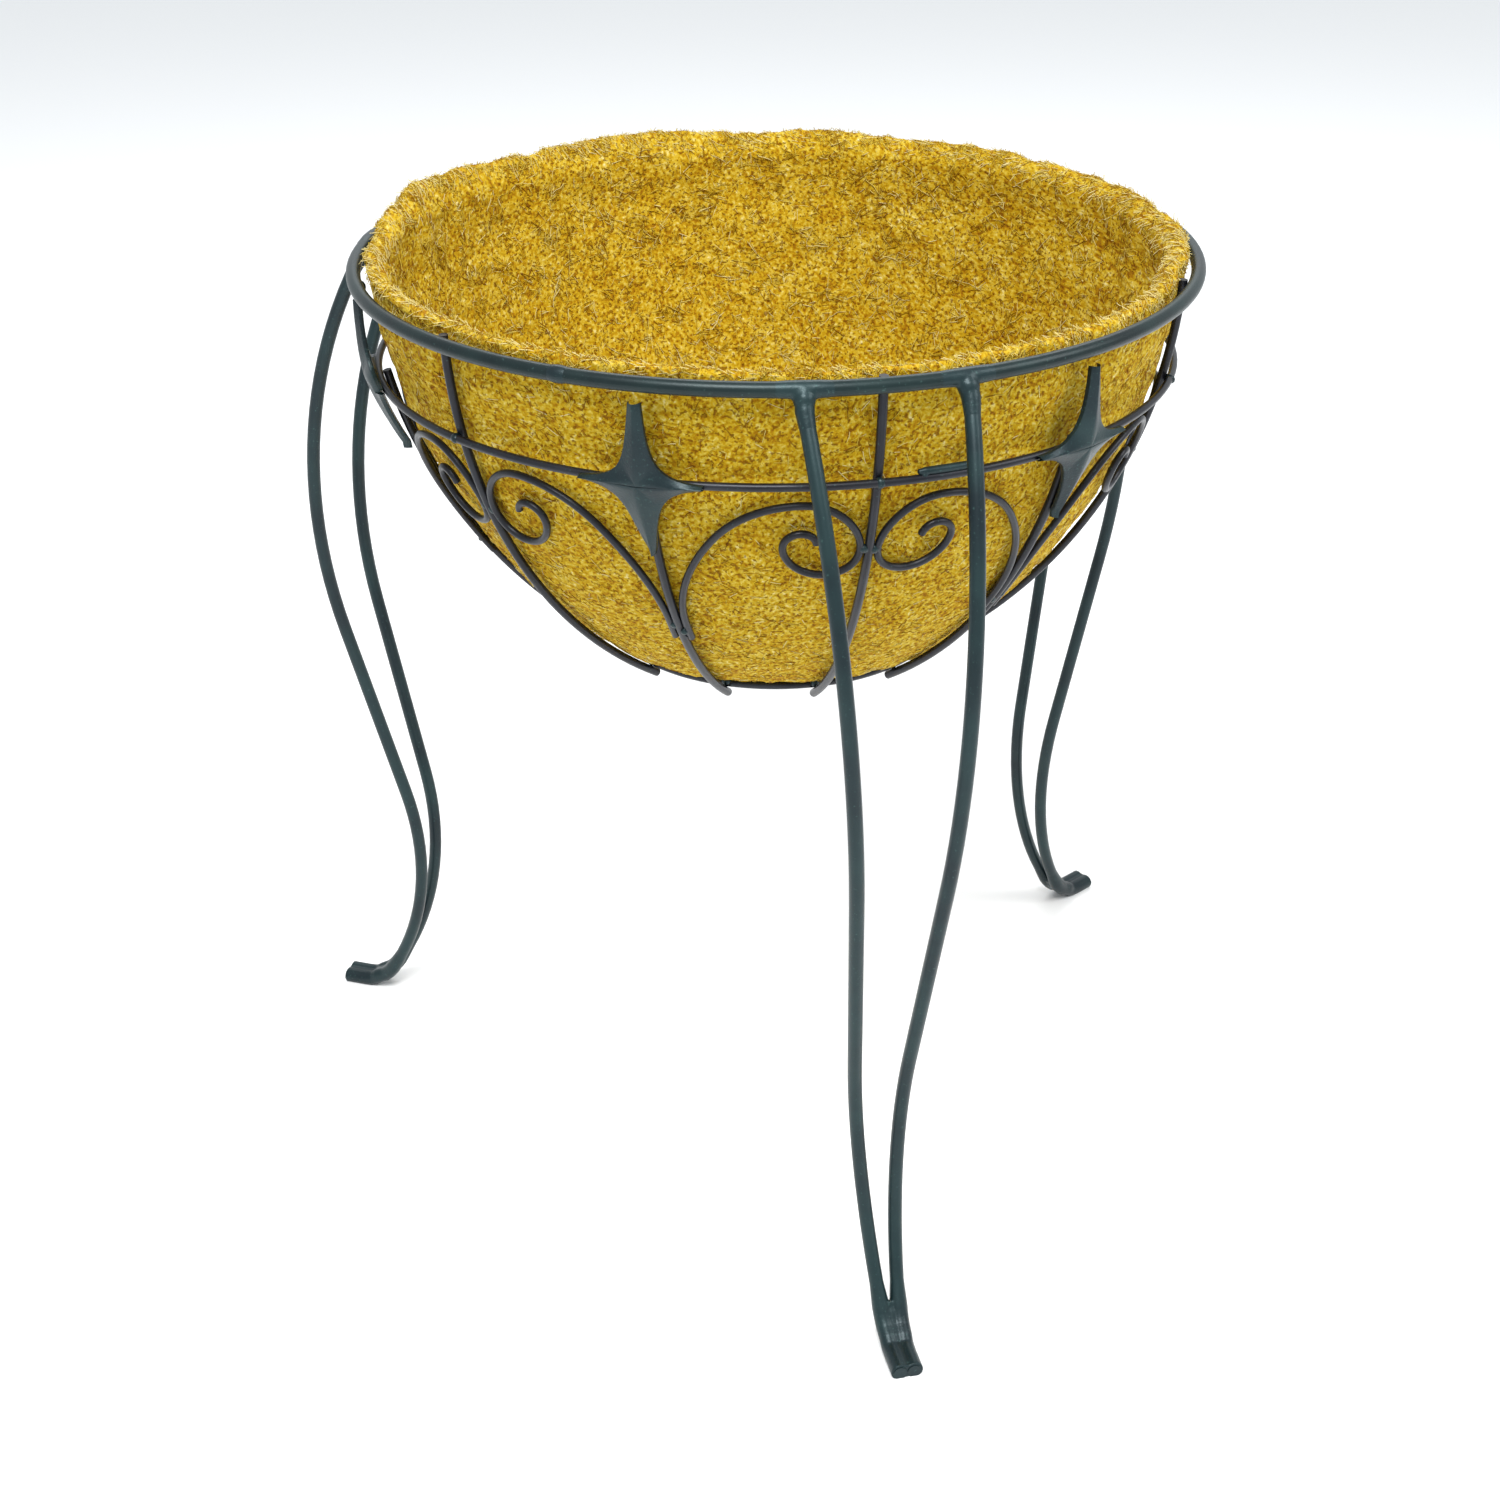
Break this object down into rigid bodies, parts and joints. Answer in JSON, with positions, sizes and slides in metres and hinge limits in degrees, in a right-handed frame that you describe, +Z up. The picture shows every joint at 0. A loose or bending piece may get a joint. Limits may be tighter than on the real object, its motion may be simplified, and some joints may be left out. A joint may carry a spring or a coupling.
{
  "type": "wire basket planter stand",
  "caption": "Free-standing round wire planter: scrolled basket with stars on bent rod legs, holding a lift-out coir liner.",
  "frame": {"origin": "on the floor, under the middle of the stand's overall width and depth", "axes": "+Z up, leg 1 points along -Y; the basket's axis is parallel to Z at y = 29.35 mm"},
  "size_m": [0.416, 0.4146, 0.422],
  "materials": {
    "coated_rod": "satin powder coat, blue-green black, on round steel rod",
    "cast_star": "satin powder coat on a cast star, slightly worn on its ridges",
    "weld_bead": "powder coated weld bead, lumpy",
    "coir": "matted coconut fibre, golden brown"
  },
  "bodies": {
    "stand": {"base_ring": "coated_rod", "foot_weld_1": "weld_bead", "foot_weld_2": "weld_bead", "foot_weld_3": "weld_bead", "leg_rod_left_1": "coated_rod", "leg_rod_left_2": "coated_rod", "leg_rod_left_3": "coated_rod", "leg_rod_right_1": "coated_rod", "leg_rod_right_2": "coated_rod", "leg_rod_right_3": "coated_rod", "mid_ring": "coated_rod", "plain_rib_1": "coated_rod", "plain_rib_2": "coated_rod", "plain_rib_3": "coated_rod", "plain_rib_4": "coated_rod", "plain_rib_5": "coated_rod", "plain_rib_6": "coated_rod", "rim_ring": "coated_rod", "rim_weld_1": "weld_bead", "rim_weld_2": "weld_bead", "rim_weld_3": "weld_bead", "scroll_left_1": "coated_rod", "scroll_left_2": "coated_rod", "scroll_left_3": "coated_rod", "scroll_left_4": "coated_rod", "scroll_left_5": "coated_rod", "scroll_left_6": "coated_rod", "scroll_right_1": "coated_rod", "scroll_right_2": "coated_rod", "scroll_right_3": "coated_rod", "scroll_right_4": "coated_rod", "scroll_right_5": "coated_rod", "scroll_right_6": "coated_rod", "star_1": "cast_star", "star_2": "cast_star", "star_3": "cast_star", "star_4": "cast_star", "star_5": "cast_star", "star_6": "cast_star", "star_rib_1": "coated_rod", "star_rib_2": "coated_rod", "star_rib_3": "coated_rod", "star_rib_4": "coated_rod", "star_rib_5": "coated_rod", "star_rib_6": "coated_rod"},
    "liner": {"coco_liner": "coir"}
  },
  "joints": [
    {"name": "liner_lift", "type": "slide", "parent": "stand", "child": "liner", "axis": [0, 0, 1], "range_m": [0, 0.2]}
  ]
}
